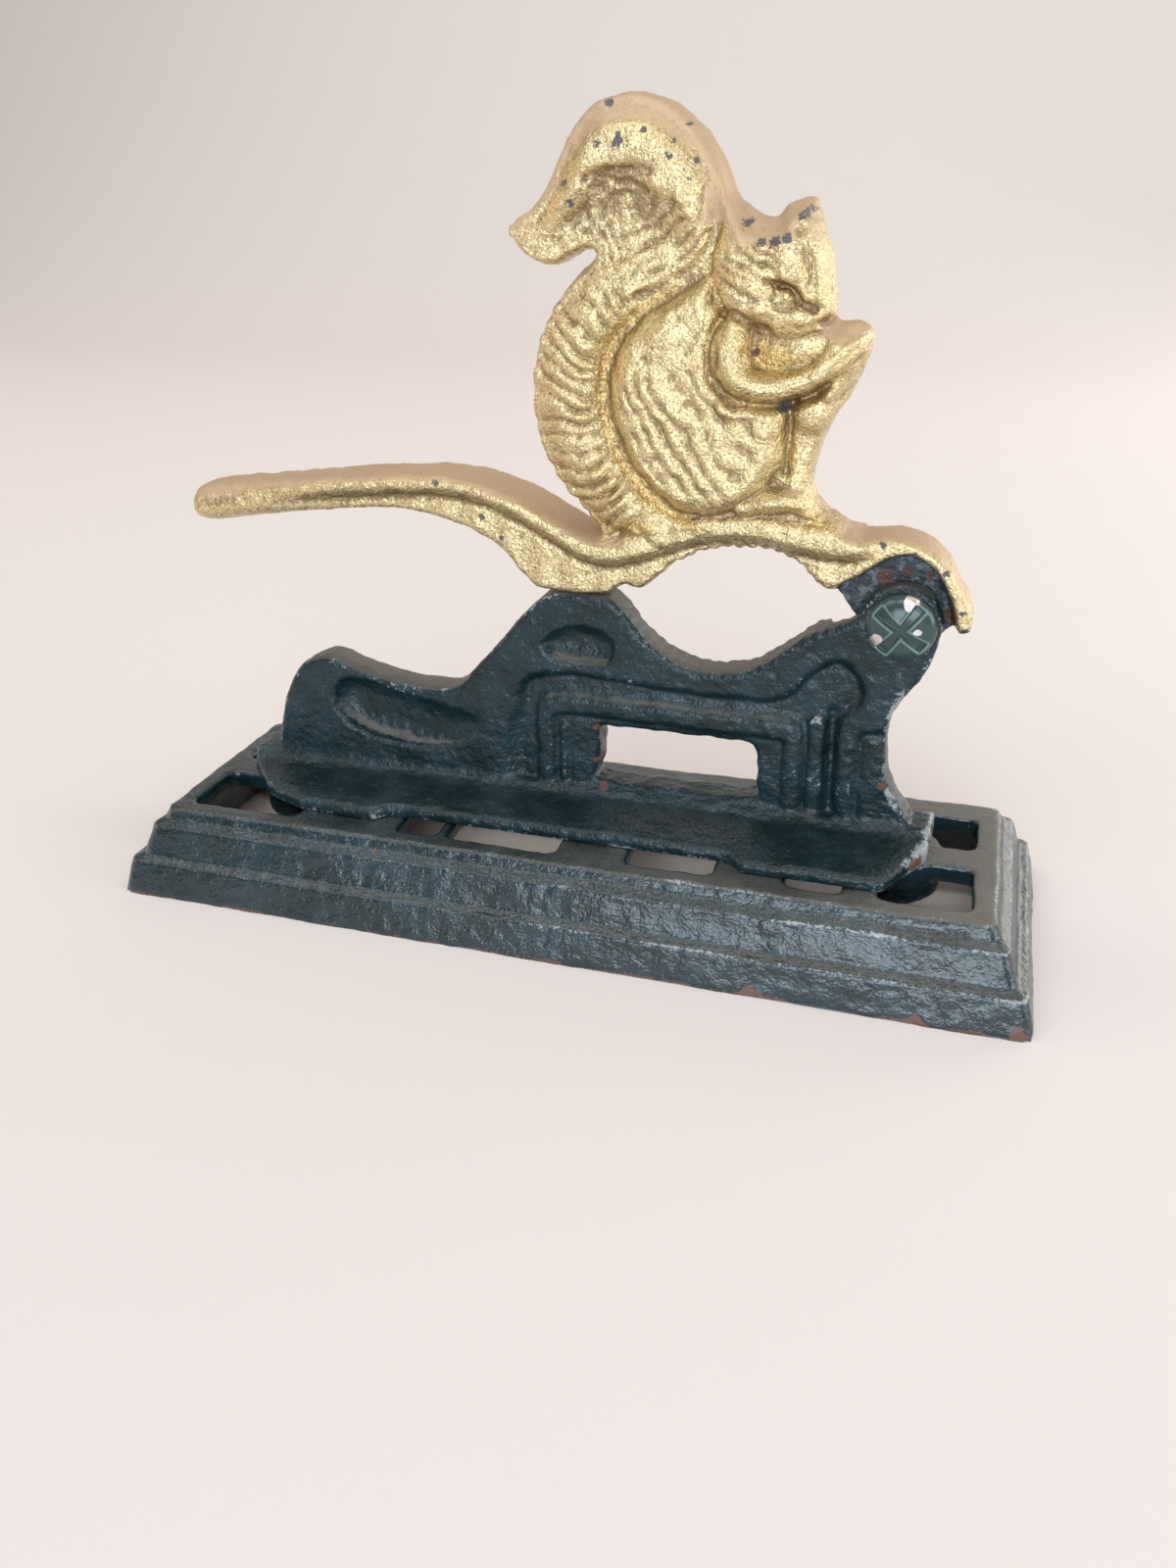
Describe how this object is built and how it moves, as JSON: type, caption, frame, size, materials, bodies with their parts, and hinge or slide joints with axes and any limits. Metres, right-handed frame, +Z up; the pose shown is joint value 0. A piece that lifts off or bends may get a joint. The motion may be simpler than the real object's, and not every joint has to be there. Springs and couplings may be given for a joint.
{
  "type": "lever nutcracker press",
  "caption": "Cast-iron lever nutcracker: a tiered hollow base, an upright frame with a toothed jaw, and a hinged handle with a squirrel figure that presses a nut against it.",
  "frame": {"origin": "middle of the base's underside", "axes": "+X along the base from the handle's end to the pivot, +Y from the front to the back, +Z up"},
  "size_m": [0.2, 0.068, 0.1587],
  "materials": {
    "cast_paint": "dark blue-green semi-gloss paint over rough cast iron",
    "gold_paint": "gold bronze paint over rough cast iron",
    "zinc_plate": "plain zinc-plated steel"
  },
  "bodies": {
    "stand": {"tiered_base": "cast_paint", "anvil_frame": "cast_paint", "pivot_screw": "cast_paint", "pivot_washer": "zinc_plate", "pivot_nut": "zinc_plate", "base_screw_handle_end": "zinc_plate", "base_washer_handle_end": "zinc_plate", "base_screw_pivot_end": "zinc_plate", "base_washer_pivot_end": "zinc_plate"},
    "lever": {"squirrel_lever": "gold_paint"}
  },
  "joints": [
    {"name": "lever_pivot", "type": "hinge", "parent": "stand", "child": "lever", "pos_m": [0.0667, 0.0032, 0.0679], "axis": [0, 1, 0], "range_deg": [0, 38]}
  ]
}
